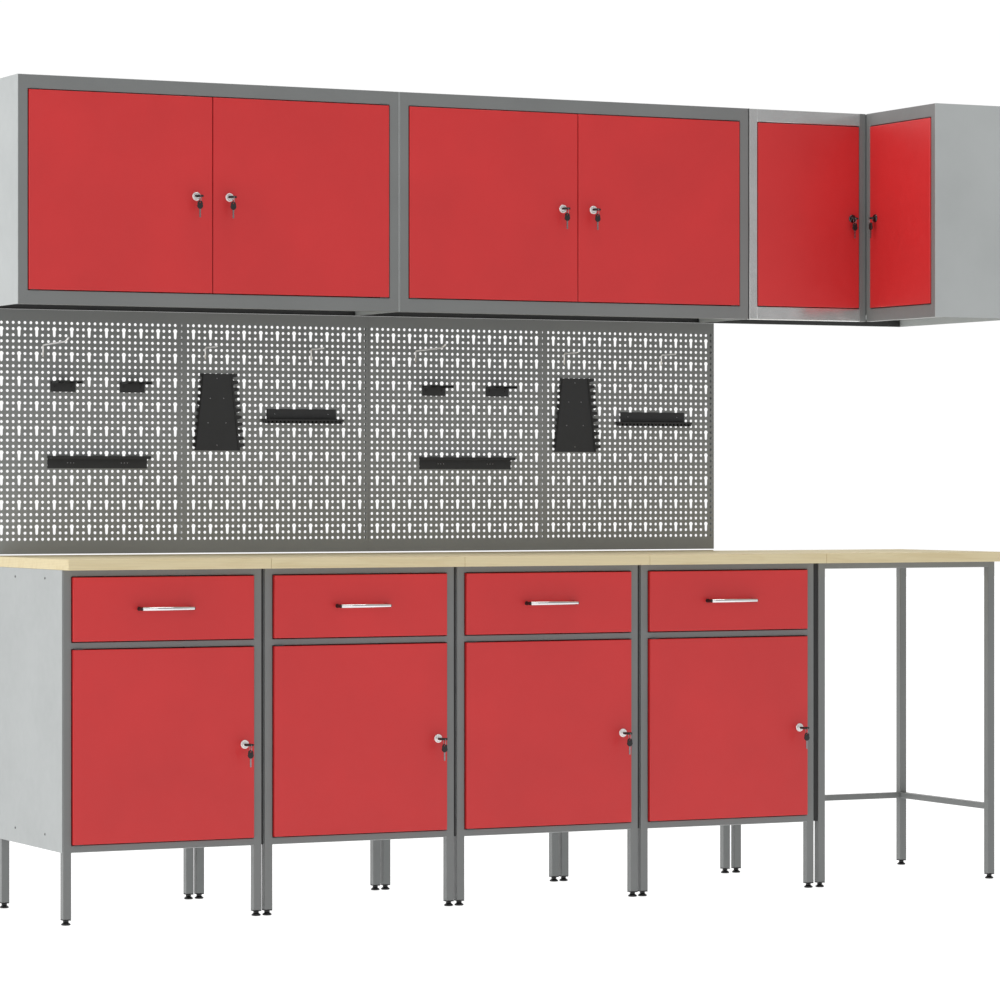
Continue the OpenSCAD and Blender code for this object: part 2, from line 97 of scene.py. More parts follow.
class Nodes:
    """A small builder for the node tree of a material or a world."""

    def __init__(self, name, kind="materials"):
        self.mat = getattr(bpy.data, kind).new(name)
        self.mat.use_nodes = True
        self.tree = self.mat.node_tree
        self.shader = self.tree.nodes.get("Principled BSDF")

    def add(self, kind, **values):
        node = self.tree.nodes.new(kind)
        for key, value in values.items():
            if key in node.inputs:
                node.inputs[key].default_value = value
            else:
                setattr(node, key, value)
        return node

    def link(self, a, b):
        self.tree.links.new(a, b)

    def place(self, scale):
        """Object coordinates times a scale along each axis."""
        coords = self.add("ShaderNodeTexCoord")
        mapping = self.add("ShaderNodeMapping")
        mapping.inputs["Scale"].default_value = scale
        self.link(coords.outputs["Object"], mapping.inputs["Vector"])
        return mapping.outputs["Vector"]

    def noise(self, vector, scale, detail=3.0, rough=0.5, distortion=0.0):
        node = self.add("ShaderNodeTexNoise", Scale=scale, Detail=detail)
        node.inputs["Roughness"].default_value = rough
        node.inputs["Distortion"].default_value = distortion
        self.link(vector, node.inputs["Vector"])
        return node.outputs["Fac"]

    def ramp(self, value, stops):
        node = self.add("ShaderNodeValToRGB")
        ends = node.color_ramp.elements
        while len(ends) < len(stops):
            ends.new(0.5)
        for end, (at, colour) in zip(ends, stops):
            end.position = at
            end.color = (*colour, 1.0)
        self.link(value, node.inputs["Fac"])
        return node.outputs["Color"]

    def span(self, value, low, high, from_low=0.3, from_high=0.7):
        limits = {"From Min": from_low, "From Max": from_high, "To Min": low, "To Max": high}
        node = self.add("ShaderNodeMapRange", **limits)
        self.link(value, node.inputs["Value"])
        return node.outputs["Result"]

    def mix(self, factor, a, b):
        node = self.add("ShaderNodeMix", data_type="RGBA")
        for socket, value in (("Factor", factor), ("A", a), ("B", b)):
            target = next(i for i in node.inputs if i.name == socket and i.enabled)
            if isinstance(value, bpy.types.NodeSocket):
                self.link(value, target)
            else:
                target.default_value = (*value, 1.0)
        return next(o for o in node.outputs if o.name == "Result" and o.enabled)

    def mottled(self, value, colour, low=0.95, high=1.05):
        """A colour that wanders between two tones of itself."""
        return self.ramp(value, [(0.3, tint(colour, low)), (0.7, tint(colour, high))])

    def scaled(self, colour, tone):
        """A colour socket times a plain number socket."""
        node = self.add("ShaderNodeVectorMath", operation="SCALE")
        self.link(colour, node.inputs[0])
        self.link(tone, node.inputs["Scale"])
        return node.outputs["Vector"]

    def bump(self, height, strength, distance):
        node = self.add("ShaderNodeBump", Strength=strength, Distance=distance)
        self.link(height, node.inputs["Height"])
        self.link(node.outputs["Normal"], self.shader.inputs["Normal"])

    def colour(self, socket):
        self.link(socket, self.shader.inputs["Base Color"])

    def roughness(self, socket):
        self.link(socket, self.shader.inputs["Roughness"])

    def constant(self, **values):
        for key, value in values.items():
            self.shader.inputs[key.replace("_", " ")].default_value = value


def tint(colour, factor):
    return tuple(min(1.0, max(0.0, c * factor)) for c in colour)


def powder_coat(name, colour, rough, coat, height_shade=None):
    """Powder-coated steel: orange-peel skin, faint dust and handling marks.

    The last argument paints shade that changes with height. It is (tone, other tone, height, other height):
    the colour is multiplied by the first tone at the first height, in metres, and changes to the other tone
    at the other height.
    """
    n = Nodes(name)
    at = n.place((1, 1, 1))
    cloud = n.noise(at, 4.0, 4.0, 0.55)
    scuff = n.noise(n.place((14, 14, 3)), 6.0, 6.0, 0.65, 0.6)
    base = n.mottled(cloud, colour)
    marks = n.span(scuff, 0.0, 0.10, 0.62, 0.80)
    skin = n.mix(marks, base, tint(colour, 1.25))
    # painted shade that changes with height, when the last argument is given
    if height_shade:
        split = n.add("ShaderNodeSeparateXYZ")
        n.link(at, split.inputs["Vector"])
        tone = n.span(split.outputs["Z"], height_shade[2], height_shade[3], height_shade[0], height_shade[1])
        skin = n.scaled(skin, tone)
    n.colour(skin)
    n.roughness(n.span(n.noise(at, 38.0, 5.0, 0.6), rough - 0.05, rough + 0.07))
    peel = n.noise(at, 620.0, 2.0, 0.5)
    n.bump(peel, 0.10, 0.0004)
    n.constant(Metallic=0.0, Coat_Weight=coat, Coat_Roughness=0.12)
    return n.mat


def satin_metal_coat(name, colour, rough):
    """Smooth metallic lacquer that mirrors its surroundings softly."""
    n = Nodes(name)
    at = n.place((1, 1, 1))
    n.colour(n.mottled(n.noise(at, 6.0, 4.0), colour))
    n.roughness(n.span(n.noise(at, 30.0, 5.0, 0.6), rough - 0.03, rough + 0.06))
    n.bump(n.noise(at, 700.0, 2.0), 0.04, 0.0003)
    n.constant(Metallic=0.80, Coat_Weight=0.2, Coat_Roughness=0.1)
    return n.mat


def metal(name, colour, rough, stretch, streak, metallic=1.0):
    """Bright metal with fine directional marks and a little uneven polish."""
    n = Nodes(name)
    lines = n.noise(n.place(stretch), 30.0, 4.0, 0.6)
    polish = n.noise(n.place((1, 1, 1)), 22.0, 4.0)
    n.colour(n.mottled(polish, colour, 0.90))
    n.roughness(n.span(lines, rough * 0.75, rough * 1.35))
    n.bump(lines, streak, 0.0002)
    n.constant(Metallic=metallic)
    return n.mat


def plastic(name, colour, rough):
    """Moulded plastic with a spark-eroded grain."""
    n = Nodes(name)
    at = n.place((1, 1, 1))
    grain = n.noise(at, 900.0, 3.0, 0.6)
    n.colour(n.mottled(n.noise(at, 12.0, 4.0), colour, 0.8, 1.25))
    n.roughness(n.span(n.noise(at, 60.0, 4.0), rough - 0.06, rough + 0.08))
    n.bump(grain, 0.25, 0.0003)
    return n.mat


def birch(name):
    """Smooth light wood: long grain, soft growth figure, pores and thin edge laminations."""
    n = Nodes(name)
    pale, warm, dark = (0.80, 0.70, 0.46), (0.69, 0.575, 0.345), (0.55, 0.42, 0.22)
    figure = n.noise(n.place((1.6, 13, 13)), 3.2, 5.0, 0.55, 1.1)
    fibre = n.noise(n.place((9, 260, 260)), 3.0, 4.0, 0.6)
    board = n.ramp(figure, [(0.28, warm), (0.52, tint(pale, 0.97)), (0.74, pale)])
    lines = n.span(fibre, 0.0, 0.30, 0.45, 0.75)
    face = n.mix(lines, board, tint(warm, 0.94))
    pores = n.noise(n.place((30, 700, 700)), 3.0, 2.0, 0.5)
    face = n.mix(n.span(pores, 0.0, 0.35, 0.64, 0.76), face, dark)
    # laminations show on the upright edges only
    wave = n.add("ShaderNodeTexWave", wave_type="BANDS", bands_direction="Z", wave_profile="SIN", Scale=1.0)
    wave.inputs["Distortion"].default_value = 0.35
    n.link(n.place((6, 6, 86)), wave.inputs["Vector"])
    normal = n.add("ShaderNodeNewGeometry")
    split = n.add("ShaderNodeSeparateXYZ")
    n.link(normal.outputs["Normal"], split.inputs["Vector"])
    upright = n.add("ShaderNodeMath", operation="ABSOLUTE")
    n.link(split.outputs["Z"], upright.inputs[0])
    on_edge = n.span(upright.outputs["Value"], 0.34, 0.0, 0.2, 0.6)
    edge = n.mix(n.span(wave.outputs["Fac"], 0.0, 1.0, 0.2, 0.8), tint(warm, 1.06), tint(warm, 0.82))
    n.colour(n.mix(on_edge, face, edge))
    n.roughness(n.span(figure, 0.55, 0.70))
    n.bump(fibre, 0.12, 0.0004)
    n.constant(Specular_IOR_Level=0.12)
    return n.mat


# A finish is a material and the record's slot that it belongs to
FRAME_GREY = (powder_coat("frame_grey_coat", (0.186, 0.194, 0.192), 0.40, 0.10), "frame_grey")
CORNER_GREY = (satin_metal_coat("corner_satin_coat", (0.70, 0.71, 0.705), 0.15), "frame_grey")
HINGE_GREY = (powder_coat("hinge_dark_coat", (0.050, 0.052, 0.052), 0.45, 0.05), "zinc")
# painted shade: a darker copy of the case grey, for the base cabinets' side sheets
CASE_GREY = (powder_coat("case_grey_coat", (0.440, 0.462, 0.460), 0.46, 0.05), "case_grey")
SIDE_SHADE_GREY = (powder_coat("side_sheet_painted_shade_coat", (0.395, 0.415, 0.413), 0.46, 0.05), "case_grey")
RED = (powder_coat("red_coat", (0.610, 0.024, 0.026), 0.42, 0.06), "red_paint")
# painted shade: the pegboards darken towards the top, in the shade under the wall cabinets
PANEL_PAINTED_SHADE = (0.85, 1.45, 1.62, 0.90)
PEG_GREY = (powder_coat("panel_grey_coat", (0.180, 0.186, 0.183), 0.45, 0.06, PANEL_PAINTED_SHADE), "frame_grey")
CHROME = (metal("polished_chrome", (0.80, 0.80, 0.81), 0.10, (8, 8, 8), 0.02), "chrome")
NICKEL = (metal("bright_nickel", (0.90, 0.885, 0.875), 0.20, (8, 8, 8), 0.02, 0.35), "chrome")
DARK_CHROME = (metal("dark_chrome", (0.10, 0.10, 0.105), 0.16, (8, 8, 8), 0.02), "chrome")
# painted shade: a darker copy of the black coat, for the spanner racks' wings
WING_SHADE_BLACK = (powder_coat("wing_painted_shade_coat", (0.004, 0.004, 0.004), 0.5, 0.0), "black_plastic")
KEY_STEEL = (metal("key_steel", (0.30, 0.30, 0.31), 0.28, (60, 4, 60), 0.10), "chrome")
RIVET_STEEL = (KEY_STEEL[0], "zinc")
ZINC = (metal("zinc_plate", (0.60, 0.61, 0.62), 0.32, (4, 60, 60), 0.10), "zinc")
BLACK = (plastic("black_moulded_plastic", (0.009, 0.009, 0.0095), 0.46), "black_plastic")
BLACK_COAT = (powder_coat("black_satin_coat", (0.013, 0.0135, 0.0135), 0.45, 0.03), "black_plastic")
WOOD = (birch("birch_board"), "birch_plywood")


# ---- Mesh tools

def solids(node):
    """Corners of the box round each separate solid of a CAD node, in build order."""
    bm = bmesh.new()
    bm.from_mesh(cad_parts[node].data)
    bmesh.ops.remove_doubles(bm, verts=bm.verts, dist=1e-6)
    seen, found = set(), []
    for start in bm.verts:
        if start in seen:
            continue
        stack, group = [start], []
        seen.add(start)
        while stack:
            v = stack.pop()
            group.append(v.co.copy())
            for e in v.link_edges:
                other = e.other_vert(v)
                if other not in seen:
                    seen.add(other)
                    stack.append(other)
        low = Vector(min(c[i] for c in group) for i in range(3))
        high = Vector(max(c[i] for c in group) for i in range(3))
        found.append((low, high))
    bm.free()
    return found


def add_box(bm, low, high, radius=0.0, steps=2):
    """A box with rounded edges: big faces stay flat-shaded, the rounds are smooth."""
    low, high = Vector(low), Vector(high)
    made = bmesh.ops.create_cube(bm, size=1.0)["verts"]
    size = high - low
    for v in made:
        v.co = Vector(low[i] + (v.co[i] + 0.5) * size[i] for i in range(3))
    radius = min(radius, 0.45 * min(size))
    if radius > 0:
        edges = {e for v in made for e in v.link_edges}
        flat = {f for v in made for f in v.link_faces}
        result = bmesh.ops.bevel(
            bm, geom=list(edges), offset=radius, segments=steps, profile=0.5, affect="EDGES"
        )
        for f in result["faces"]:
            f.smooth = True
        for f in flat:
            if f.is_valid:
                f.smooth = False


def add_band(bm, a, b, smooth=False):
    """Four-sided faces all round between two rings of points."""
    for k in range(len(a)):
        j = (k + 1) % len(a)
        bm.faces.new((a[k], a[j], b[j], b[k])).smooth = smooth


def add_caps(bm, first, last):
    bm.faces.new(first[::-1])
    bm.faces.new(last)


def add_lathe(bm, origin, axis, profile, segments=32, smooth=True, loop=False):
    """Surface turned round axis from origin: profile is [(distance, radius)], ends closed or joined up."""
    axis = Vector(axis).normalized()
    side = axis.orthogonal().normalized()
    across = axis.cross(side)
    rings = []
    for along, radius in profile:
        centre = Vector(origin) + axis * along
        ring = []
        for k in range(segments):
            a = 2 * math.pi * k / segments
            ring.append(bm.verts.new(centre + (side * math.cos(a) + across * math.sin(a)) * radius))
        rings.append(ring)
    if loop:
        rings.append(rings[0])
        profile = [*profile, profile[0]]
    for i, (low, high) in enumerate(zip(rings, rings[1:])):
        steep = abs(profile[i + 1][1] - profile[i][1]) > 3 * abs(profile[i + 1][0] - profile[i][0])
        add_band(bm, low, high, smooth and not steep)
    if not loop:
        add_caps(bm, rings[0], rings[-1])


def in_mm(profile):
    """A lathe profile written in millimetres, in metres."""
    return [(along * MM, radius * MM) for along, radius in profile]


def add_wire(bm, points, radius, segments=12):
    """Round wire along a list of points, ends closed."""
    points = [Vector(p) for p in points]
    rings = []
    normal = None
    for i, p in enumerate(points):
        before = points[max(i - 1, 0)]
        after = points[min(i + 1, len(points) - 1)]
        along = (after - before).normalized()
        if normal is None:
            normal = along.orthogonal().normalized()
        normal = (normal - along * normal.dot(along)).normalized()
        across = along.cross(normal)
        rings.append([
            bm.verts.new(p + (normal * math.cos(a) + across * math.sin(a)) * radius)
            for a in (2 * math.pi * k / segments for k in range(segments))
        ])
    for low, high in zip(rings, rings[1:]):
        add_band(bm, low, high, True)
    add_caps(bm, rings[0], rings[-1])


def bend(points, radius, steps=6):
    """The polyline with each inner corner rounded to a radius."""
    points = [Vector(p) for p in points]
    out = [points[0]]
    for before, corner, after in zip(points, points[1:], points[2:]):
        a, b = (before - corner).normalized(), (after - corner).normalized()
        half = a.angle(b) / 2
        back = min(radius / math.tan(half), 0.45 * (before - corner).length, 0.45 * (after - corner).length)
        for k in range(steps + 1):
            t = k / steps
            p, q = corner + a * back, corner + b * back
            out.append(p.lerp(corner, t).lerp(corner.lerp(q, t), t))
    out.append(points[-1])
    return out


def add_prism(bm, outline, front, rear):
    """An upright outline of (x, z) points, extruded from one depth to another."""
    a = [bm.verts.new((x, front, z)) for x, z in outline]
    b = [bm.verts.new((x, rear, z)) for x, z in outline]
    add_caps(bm, a, b)
    add_band(bm, a, b)


def place_mesh(name, mesh, finish, body, *nodes):
    """Makes an object of a mesh, to ride a body and stand for CAD nodes."""
    material, slot = finish
    mesh.materials.append(material)
    obj = bpy.data.objects.new(name, mesh)
    bpy.context.scene.collection.objects.link(obj)
    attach(obj, body)
    if nodes:
        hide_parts(*nodes)
    return obj


def piece(name, bm, finish, body, *nodes, move=None, thick=0.0):
    """Turns a bmesh into a piece; thick gives open sheet work its thickness."""
    if move is not None:
        bm.transform(move)
    if not thick:
        bmesh.ops.recalc_face_normals(bm, faces=bm.faces)
    mesh = bpy.data.meshes.new(name)
    bm.to_mesh(mesh)
    bm.free()
    obj = place_mesh(name, mesh, finish, body, *nodes)
    if thick:
        skin = obj.modifiers.new("sheet", "SOLIDIFY")
        skin.thickness = thick
        skin.offset = -1
        skin.use_even_offset = True


def dress(node, finish):
    """Gives a CAD node that stays its finish."""
    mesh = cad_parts[node].data
    mesh.materials.clear()
    mesh.materials.append(finish[0])


# ---- Frames, cases and boards

def rounded_copy(name, node, finish, radius, steps=2):
    """The CAD node's boxes again, with rounded edges."""
    bm = bmesh.new()
    for low, high in solids(node):
        add_box(bm, low, high, radius, steps)
    piece(name, bm, finish, ROOT, node)


def frames():
    """Welded tube frames: each rail's ends are buried in the posts it joins."""
    names = ["base_frames", "stand_frame", "wall_frame_1", "wall_frame_2", "corner_frame"]
    corner_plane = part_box("wall_frame_1")[0][1]
    corner_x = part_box("corner_door_2")[0][0]
    for node in names:
        bm, glossy = bmesh.new(), bmesh.new()
        for low, high in solids(node):
            size = high - low
            grow = Vector((0, 0, 0))
            axis = max(range(3), key=lambda k: size[k])
            if axis < 2:
                grow[axis] = WELD
            shiny = node == "corner_frame" and low[1] > corner_plane - MM and high[0] < corner_x - 5 * MM
            add_box(glossy if shiny else bm, low - grow, high + grow, TUBE_RADIUS, 3)
        piece(node + "_tubes", bm, FRAME_GREY, ROOT, node)
        if node == "corner_frame":
            piece(node + "_room_side", glossy, CORNER_GREY, ROOT)
        else:
            glossy.free()


def gap_shade_strips():
    """Black strips in the gaps between neighbouring cabinets and the stand: painted shade, where the narrow
    gaps fall dark.
    """
    bm = bmesh.new()
    sheets = sorted(solids("base_side_sheets"), key=lambda p: p[0][0])
    posts = sorted(solids("stand_frame"), key=lambda p: p[0][0])
    edges = [p[1][0] for p in sheets[1::2]]
    starts = [p[0][0] for p in sheets[2::2]] + [posts[0][0][0]]
    low, high = sheets[0]
    clear, deep, edge = 0.3 * MM, 10 * MM, 0.4 * MM
    for left, right in zip(edges, starts):
        for y in (low[1] + 2.5 * MM, high[1] - 2.5 * MM - deep):
            foot = (left + clear, y, low[2] + MM)
            add_box(bm, foot, (right - clear, y + deep, high[2] - MM), edge, 1)
    # black strips between the wall cases: painted shade in the gaps
    clear, deep = 0.2 * MM, 8 * MM
    for a, b in zip(WALL_CASES, WALL_CASES[1:]):
        left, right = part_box(a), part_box(b)
        y = left[0][1] + 2 * MM
        foot = (left[1][0] + clear, y, left[0][2] + MM)
        add_box(bm, foot, (right[0][0] - clear, y + deep, left[1][2] - MM))
    # a thin black strip on the seam between the wall frame and the corner frame: a painted shadow gap
    left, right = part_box("wall_frame_2"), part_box("corner_frame")
    seam = (left[1][0] + right[0][0]) / 2
    half, proud, buried = 1.6 * MM, 0.4 * MM, MM
    foot = (seam - half, left[0][1] - proud, left[0][2])
    add_box(bm, foot, (seam + half, left[0][1] + buried, left[1][2]), 0.2 * MM, 1)
    piece("gap_shade_strips", bm, BLACK, ROOT)


def recess_shade_strips():
    """Black strips along the back under each wall case's floor: painted shade, where the recess seen from
    below falls dark.
    """
    bm = bmesh.new()
    inset, thick = 1.6 * MM, 3 * MM
    for node in WALL_CASES:
        low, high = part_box(node)
        floor_z = min(p[0][2] for p in solids(node) if p[1][2] - p[0][2] < 5 * MM)
        back = high[1] - 1.5 * MM
        foot = (low[0] + inset, back - thick, low[2] + 0.5 * MM)
        add_box(bm, foot, (high[0] - inset, back, floor_z - 0.3 * MM), 0.5 * MM, 1)
    piece("recess_shade_strips", bm, BLACK_COAT, ROOT)


def cases():
    """Side, back and floor sheets with softened edges, shelves, and the wall cases as in CAD."""
    side = bmesh.new()
    for low, high in solids("base_side_sheets"):
        add_box(side, (low[0], low[1] + 4 * MM, low[2]), high, 0.5 * MM, 1)
    # the side sheets take the darker copy of the case grey, as painted shade on the sides
    piece("base_side_sheets_panels", side, SIDE_SHADE_GREY, ROOT, "base_side_sheets")
    for node in ("base_back_sheets", "base_floor_sheets"):
        rounded_copy(node + "_panels", node, CASE_GREY, 0.5 * MM, 1)
    for node in WALL_CASES:
        dress(node, CASE_GREY)
    for node in ("base_shelves", "wall_shelves"):
        shelf_lips(node)


def shelf_lips(node):
    """Shelves with lips folded down at the front and back."""
    lip = 14 * MM
    bm = bmesh.new()
    for low, high in solids(node):
        add_box(bm, low, high, 0.6 * MM, 1)
        front = (low[0] + 4 * MM, low[1], low[2] - lip)
        add_box(bm, front, (high[0] - 4 * MM, low[1] + 1.5 * MM, low[2]), 0.5 * MM, 1)
        back = (low[0] + 4 * MM, high[1] - 1.5 * MM, low[2] - lip)
        add_box(bm, back, (high[0] - 4 * MM, high[1], low[2]), 0.5 * MM, 1)
    piece(node + "_folded", bm, CASE_GREY, ROOT, node)


def worktops():
    """Boards with softened edges, and a low bead in the slit under the pegboards."""
    rounded_copy("worktop_boards", "worktops", WOOD, 1.2 * MM, 3)
    bm = bmesh.new()
    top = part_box("worktops")[1][2]
    set_back, deep, tall = 2 * MM, 5 * MM, 1.8 * MM
    for board in PEGBOARDS:
        low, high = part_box(board)
        y = low[1] + set_back
        add_box(bm, (low[0], y, top), (high[0], y + deep, top + tall), 0.4 * MM)
    piece("worktop_back_bead", bm, WOOD, ROOT)


def feet():
    """Levelling feet: rubber disc, hexagon nut, threaded stem and tube plug."""
    plastic_bm, steel_bm = bmesh.new(), bmesh.new()
    for low, high in solids("levelling_feet"):
        centre = (low + high) / 2
        at = Vector((centre[0], centre[1], low[2]))
        disc = [(0, 8.5), (0.6, 10.4), (1.4, 11), (3.2, 11), (4, 10.2), (5.2, 8.2), (6.6, 7), (7.4, 5)]
        add_lathe(plastic_bm, at, (0, 0, 1), in_mm(disc), 28)
        thread = []
        for k in range(9):
            thread += [(6.6 + 0.6 * k, 4.0), (6.9 + 0.6 * k, 3.5)]
        add_lathe(steel_bm, at, (0, 0, 1), in_mm(thread), 20)
        nut = [(7.6, 6.2), (7.9, 6.8), (10.1, 6.8), (10.4, 6.2)]
        add_lathe(steel_bm, at, (0, 0, 1), in_mm(nut), 6, smooth=False)
        half = 10 * MM
        plug_low = (at[0] - half, at[1] - half, low[2] + 11.5 * MM)
        add_box(plastic_bm, plug_low, (at[0] + half, at[1] + half, high[2]), 1.0 * MM)
    piece("feet_plastic", plastic_bm, BLACK, ROOT, "levelling_feet")
    piece("feet_threads", steel_bm, BLACK_COAT, ROOT)


def rivets():
    """Domed blind rivets in the side sheets."""
    bm = bmesh.new()
    sheets = solids("base_side_sheets")
    for low, high in solids("side_rivets"):
        centre = (low + high) / 2
        outward = -1 if any(abs(s[0][0] - high[0]) < 0.2 * MM for s in sheets) else 1
        root_x = high[0] if outward < 0 else low[0]
        dome = [(-0.3, 3.0), (0.15, 3.0), (0.5, 2.7), (0.8, 2.0), (0.95, 1.0), (1.0, 0.3)]
        add_lathe(bm, (root_x, centre[1], centre[2]), (outward, 0, 0), in_mm(dome), 20)
    piece("rivet_domes", bm, BLACK, ROOT, "side_rivets")


def runners():
    """Fixed drawer runners as C channels with a screw pattern."""
    bm = bmesh.new()
    screws = bmesh.new()
    lip = 6 * MM
    for k, (low, high) in enumerate(sorted(solids("drawer_runners"), key=lambda s: s[0][0])):
        left = k % 2 == 0
        wall = (low[0], low[0] + SHEET) if left else (high[0] - SHEET, high[0])
        add_box(bm, (wall[0], low[1], low[2]), (wall[1], high[1], high[2]), 0.4 * MM, 1)
        for z in (low[2], high[2] - SHEET):
            add_box(bm, (low[0], low[1], z), (high[0], high[1], z + SHEET), 0.4 * MM, 1)
        end = high[0] - SHEET if left else low[0]
        for z in (low[2] + SHEET, high[2] - lip):
            add_box(bm, (end, low[1], z), (end + SHEET, high[1], z + lip - SHEET), 0.3 * MM, 1)
        face = wall[1] if left else wall[0]
        inward = (1 if left else -1, 0, 0)
        for share in (0.12, 0.5, 0.88):
            y = low[1] + share * (high[1] - low[1])
            head = [(0, 3.6), (0.8, 3.4), (1.4, 2.2), (1.5, 0.5)]
            add_lathe(screws, (face, y, (low[2] + high[2]) / 2), inward, in_mm(head), 16)
    piece("runner_channels", bm, ZINC, ROOT, "drawer_runners")
    piece("runner_screws", screws, ZINC, ROOT)


# ---- Pegboards

class Layer:
    """Faces of a sheet, with its points shared between front, back and hole walls."""

    def __init__(self, front, back):
        self.depth = (front, back)
        self.index = {}
        self.points = []
        self.faces = []

    def at(self, x, z, side):
        key = (round(x * 1e6), round(z * 1e6), side)
        if key not in self.index:
            self.index[key] = len(self.points)
            self.points.append((x, self.depth[side], z))
        return self.index[key]

    def quad(self, corners):
        """The same four-sided patch on both skins."""
        front = [self.at(x, z, 0) for x, z in corners]
        back = [self.at(x, z, 1) for x, z in corners]
        self.faces.append(front)
        self.faces.append(back[::-1])

    def wall(self, a, b):
        self.faces.append([self.at(*a, 0), self.at(*a, 1), self.at(*b, 1), self.at(*b, 0)])

    def cell(self, x, z, outer, inner):
        """A patch with a hole, outline points matched one to one."""
        count = len(outer)
        rim = [(x + u, z + v) for u, v in outer]
        hole = [(x + u, z + v) for u, v in inner]
        for k in range(count):
            j = (k + 1) % count
            self.quad([rim[k], rim[j], hole[j], hole[k]])
            self.wall(hole[j], hole[k])


def cell_rim(low, high):
    """Points every third of a pitch round a cell, anticlockwise from the lower right corner."""
    half, step = PEG_PITCH / 2, PEG_PITCH / 3
    count = round((high - low) / step)
    right = [(half, low + k * step) for k in range(count)]
    top = [(half - k * step, high) for k in range(3)]
    left = [(-half, high - k * step) for k in range(count)]
    bottom = [(-half + k * step, low) for k in range(3)]
    return right + top + left + bottom


def round_hole():
    return [(DOT_R * math.cos(a), DOT_R * math.sin(a))
            for a in (math.radians(30 * k - 45) for k in range(12))]


def keyhole():
    """Entry circle above, slot below, 18 points to match a two-row cell."""
    head, slot, foot = 5.7 * MM, 3.6 * MM, -15.8 * MM
    neck = -math.sqrt(head * head - slot * slot)
    right = [(0.7 * slot, foot - 0.7 * slot), (slot, foot), (slot, 0.7 * foot), (slot, 0.45 * foot)]
    right += [(slot, neck), (head, 0.0), (0.71 * head, 0.71 * head), (0.31 * head, 0.95 * head)]
    left = [(-u, v) for u, v in reversed(right)]
    low = foot - slot
    return right + left + [(-0.3 * slot, low), (0.3 * slot, low)]


def pegboard(node):
    """Perforated sheet: dots on a grid, and a keyhole in place of two dots at regular steps."""
    parts = solids(node)
    low, high = parts[0]
    board = Layer(low[1], high[1])
    half = PEG_PITCH / 2
    step = PEG_PITCH / 3
    top_row = high[2] - PEG_TOP
    z_high = top_row + half
    z_low = top_row - (PEG_ROWS - 1) * PEG_PITCH - half
    dot_rim, dot_hole = cell_rim(-half, half), round_hole()
    key_rim, key_hole = cell_rim(-half - PEG_PITCH, half), keyhole()
    for f in range(2):
        x_first = low[0] + f * PEG_FIELD + PEG_MARGIN
        cell_low = x_first - half
        cell_high = x_first + (PEG_COLUMNS - 1) * PEG_PITCH + half
        edge_low = low[0] + f * PEG_FIELD
        edge_high = high[0] if f else low[0] + PEG_FIELD
        for column in range(PEG_COLUMNS):
            x = x_first + column * PEG_PITCH
            keyed = column % 3 == 1
            for row in range(PEG_ROWS):
                z = top_row - row * PEG_PITCH
                if keyed and row % 4 == 1:
                    board.cell(x, z, key_rim, key_hole)
                elif not (keyed and row % 4 == 2):
                    board.cell(x, z, dot_rim, dot_hole)
        grid = [cell_low + k * step for k in range(3 * PEG_COLUMNS + 1)]
        across = [edge_low, *grid, edge_high]
        upward = [z_low + k * step for k in range(3 * PEG_ROWS + 1)]
        for a, b in zip(across, across[1:]):
            board.quad([(a, z_high), (b, z_high), (b, high[2]), (a, high[2])])
            board.quad([(a, low[2]), (b, low[2]), (b, z_low), (a, z_low)])
        for a, b in zip(upward, upward[1:]):
            board.quad([(edge_low, a), (cell_low, a), (cell_low, b), (edge_low, b)])
            board.quad([(cell_high, a), (edge_high, a), (edge_high, b), (cell_high, b)])
    mesh = bpy.data.meshes.new(node + "_sheet")
    mesh.from_pydata(board.points, [], board.faces)
    place_mesh(node + "_sheet", mesh, PEG_GREY, ROOT, node)
    pegboard_folds(node, parts)


def pegboard_folds(node, parts):
    """Flanges behind the sheet, each with a lip folded inwards."""
    low, high = parts[0]
    middle = low[0] + PEG_FIELD
    seam = 8 * MM
    lip, edge = 3 * MM, 0.3 * MM
    bm = bmesh.new()
    for a, b in parts[1:]:
        add_box(bm, (a[0], high[1], a[2]), b, edge, 1)
        upright = b[2] - a[2] > 0.1
        if upright:
            right_of_seam = middle < a[0] < middle + seam
            at_left = a[0] - low[0] < 0.1 or right_of_seam
            x0, x1 = (b[0], b[0] + lip) if at_left else (a[0] - lip, a[0])
            add_box(bm, (x0, b[1] - SHEET, a[2] + 2 * MM), (x1, b[1], b[2] - 2 * MM), edge, 1)
        else:
            at_foot = a[2] - low[2] < 0.1
            z0, z1 = (b[2], b[2] + 2 * lip) if at_foot else (a[2] - 2 * lip, a[2])
            add_box(bm, (a[0] + lip, b[1] - SHEET, z0), (b[0] - lip, b[1], z1), edge, 1)
    piece(node + "_folds", bm, PEG_GREY, ROOT)


# ---- Tool holders

def dot_heads(name, spots, radius, finish):
    """Small domed rivet heads facing the room."""
    bm = bmesh.new()
    for spot in spots:
        curve = [(0, 1), (0.3, 0.9), (0.5, 0.55), (0.55, 0.1)]
        dome = [(along * radius, across * radius) for along, across in curve]
        add_lathe(bm, spot, (0, -1, 0), dome, 14)
    piece(name, bm, finish, ROOT)


